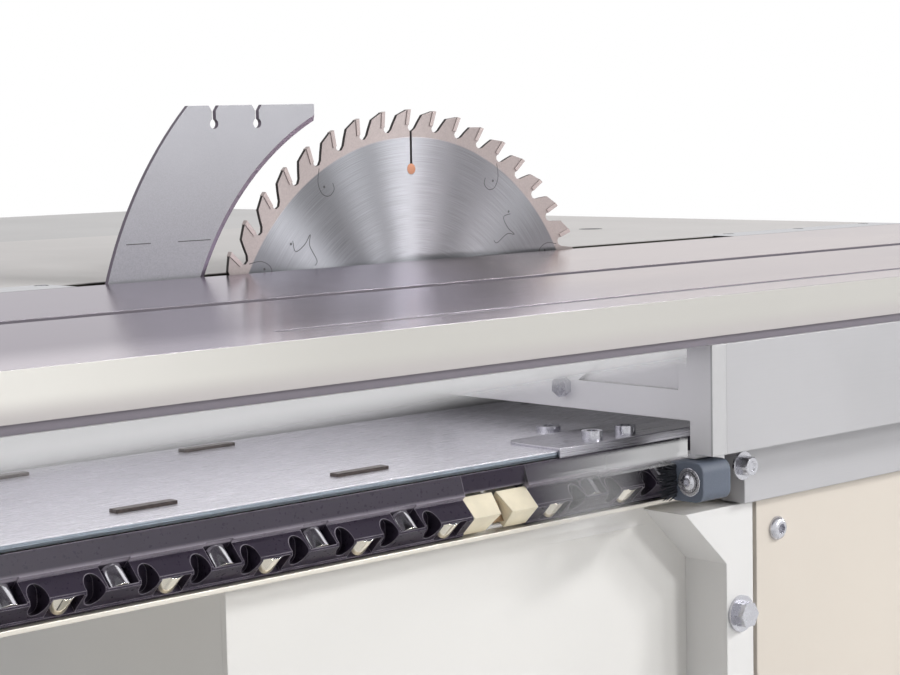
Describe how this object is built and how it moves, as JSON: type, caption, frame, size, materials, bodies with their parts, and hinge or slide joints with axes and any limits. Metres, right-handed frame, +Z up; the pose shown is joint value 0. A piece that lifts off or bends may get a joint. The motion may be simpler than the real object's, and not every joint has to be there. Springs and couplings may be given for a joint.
{
  "type": "sliding table saw",
  "caption": "Panel saw with a raised circular blade and riving knife, a fixed table and a sliding table running on crossed rollers beside it, tilt and height hand wheels.",
  "frame": {"origin": "on the floor under the middle of the bounding box", "axes": "+X along the cut towards the operator, +Y across the fixed table away from the sliding table, +Z up"},
  "size_m": [1.55, 1.2254, 0.974],
  "materials": {
    "body_paint": "satin powder coat",
    "door_paint": "satin powder coat",
    "base_paint": "satin paint",
    "hinge_steel": "satin",
    "knob_plastic": "matt",
    "table_cast": "ground and planed",
    "insert_steel": "satin",
    "extension_steel": "satin",
    "rail_steel": "polished",
    "beam_aluminium": "satin anodised",
    "cover_steel": "brushed",
    "felt": "matt felt",
    "way_steel": "ground",
    "clamp_steel": "satin",
    "screw_steel": "zinc plated",
    "console_paint": "satin",
    "cover_paint": "satin powder coat",
    "cast_dark": "painted casting",
    "control_plastic": "matt",
    "start_green": "gloss",
    "stop_red": "gloss",
    "outlet_plastic": "matt",
    "deck_aluminium": "satin anodised",
    "skirt_clear": null,
    "skirt_aluminium": "satin anodised",
    "bridge_aluminium": "cast",
    "buffer_rubber": "matt",
    "cage_plastic": "satin",
    "roller_steel": "polished",
    "wiper_plastic": "satin",
    "frame_paint": "satin paint",
    "machined_steel": "turned",
    "motor_paint": "satin paint",
    "belt_rubber": "matt",
    "knife_steel": "satin",
    "blade_steel": "brushed",
    "carbide": "sintered"
  },
  "bodies": {
    "base": {"base_frame": "base_paint", "left_panel": "body_paint", "right_panel": "body_paint", "front_panel": "body_paint", "rear_panel": "body_paint", "door_hinges": "hinge_steel", "fixed_table": "table_cast", "table_insert": "insert_steel", "table_extension": "extension_steel", "fence_rail": "rail_steel", "rail_brackets": "base_paint", "guide_beam": "beam_aluminium", "cover_strip": "cover_steel", "felt_wipers": "felt", "outer_lower_rail": "way_steel", "inner_lower_rail": "way_steel", "clamp_block": "clamp_steel", "clamp_screws": "screw_steel", "beam_console": "console_paint", "console_bolts": "screw_steel", "side_cover": "cover_paint", "trunnion_brackets": "cast_dark", "control_box": "control_plastic", "dust_outlet": "outlet_plastic"},
    "door": {"access_door": "door_paint"},
    "latch": {"door_knob": "knob_plastic"},
    "start": {"start_button": "start_green"},
    "stop": {"stop_button": "stop_red"},
    "sliding_table": {"table_deck": "deck_aluminium", "rear_skirt": "skirt_clear", "front_skirt": "skirt_aluminium", "inner_skirt": "skirt_aluminium", "carriage_bridges": "bridge_aluminium", "bridge_bolts": "screw_steel", "buffer_block": "buffer_rubber", "buffer_screw": "screw_steel", "table_end_caps": "knob_plastic"},
    "outer_cage": {"outer_cages": "cage_plastic", "outer_rollers": "roller_steel", "cage_wipers": "wiper_plastic"},
    "inner_cage": {"inner_cages": "cage_plastic", "inner_rollers": "roller_steel"},
    "tilt": {"tilt_frame": "frame_paint", "tilt_cheeks": "frame_paint", "lift_posts": "rail_steel", "lift_screw": "machined_steel"},
    "lift": {"lift_carriage": "cast_dark", "motor": "motor_paint", "drive_belt": "belt_rubber", "knife_holder": "cast_dark", "riving_knife": "knife_steel"},
    "saw": {"arbor": "machined_steel", "clamp_flange": "machined_steel", "saw_blade": "blade_steel", "carbide_tips": "carbide"},
    "rotor": {"motor_pulley": "machined_steel"},
    "scorer": {"scoring_spindle": "machined_steel", "scoring_blade": "blade_steel"},
    "rise_wheel": {"height_wheel": "knob_plastic"},
    "lean_wheel": {"tilt_wheel": "knob_plastic"}
  },
  "joints": [
    {"name": "table_slide", "type": "slide", "parent": "base", "child": "sliding_table", "axis": [1, 0, 0], "range_m": [-0.45, 0.45]},
    {"name": "outer_cage_slide", "type": "slide", "parent": "base", "child": "outer_cage", "axis": [1, 0, 0], "range_m": [-0.225, 0.225]},
    {"name": "inner_cage_slide", "type": "slide", "parent": "base", "child": "inner_cage", "axis": [1, 0, 0], "range_m": [-0.225, 0.225]},
    {"name": "blade_tilt", "type": "hinge", "parent": "base", "child": "tilt", "pos_m": [0.075, -0.28725, 0.88], "axis": [-1, 0, 0], "range_deg": [0, 45]},
    {"name": "blade_height", "type": "slide", "parent": "tilt", "child": "lift", "axis": [0, 0, 1], "range_m": [-0.096, 0.005]},
    {"name": "blade_spin", "type": "hinge", "parent": "lift", "child": "saw", "pos_m": [0.075, -0.28725, 0.8128], "axis": [0, 1, 0], "continuous": true},
    {"name": "motor_spin", "type": "hinge", "parent": "lift", "child": "rotor", "pos_m": [-0.095, -0.14975, 0.693], "axis": [0, 1, 0], "continuous": true},
    {"name": "scoring_spin", "type": "hinge", "parent": "tilt", "child": "scorer", "pos_m": [0.297, -0.28725, 0.812], "axis": [0, 1, 0], "continuous": true},
    {"name": "height_wheel_turn", "type": "hinge", "parent": "tilt", "child": "rise_wheel", "pos_m": [0.525, -0.22525, 0.58], "axis": [1, 0, 0], "range_deg": [-3460, 181]},
    {"name": "tilt_wheel_turn", "type": "hinge", "parent": "base", "child": "lean_wheel", "pos_m": [0.525, -0.03725, 0.58], "axis": [1, 0, 0], "range_deg": [0, 1800]},
    {"name": "door_swing", "type": "hinge", "parent": "base", "child": "door", "pos_m": [-0.284, 0.11075, 0.41], "axis": [0, 0, -1], "range_deg": [0, 110]},
    {"name": "latch_turn", "type": "hinge", "parent": "door", "child": "latch", "pos_m": [-0.285, -0.23925, 0.41], "axis": [1, 0, 0], "range_deg": [0, 90]},
    {"name": "start_press", "type": "slide", "parent": "base", "child": "start", "axis": [-1, 0, 0], "range_m": [0, 0.004], "stiffness_N_per_m": 400},
    {"name": "stop_press", "type": "slide", "parent": "base", "child": "stop", "axis": [-1, 0, 0], "range_m": [0, 0.004], "stiffness_N_per_m": 400}
  ],
  "couplings": [
    {"joint": "outer_cage_slide", "follows": "table_slide", "ratio": 0.5},
    {"joint": "inner_cage_slide", "follows": "table_slide", "ratio": 0.5},
    {"joint": "motor_spin", "follows": "blade_spin", "ratio": 0.8},
    {"joint": "height_wheel_turn", "follows": "blade_height", "rad_per_m": 628.32},
    {"joint": "tilt_wheel_turn", "follows": "blade_tilt", "ratio": 40}
  ]
}
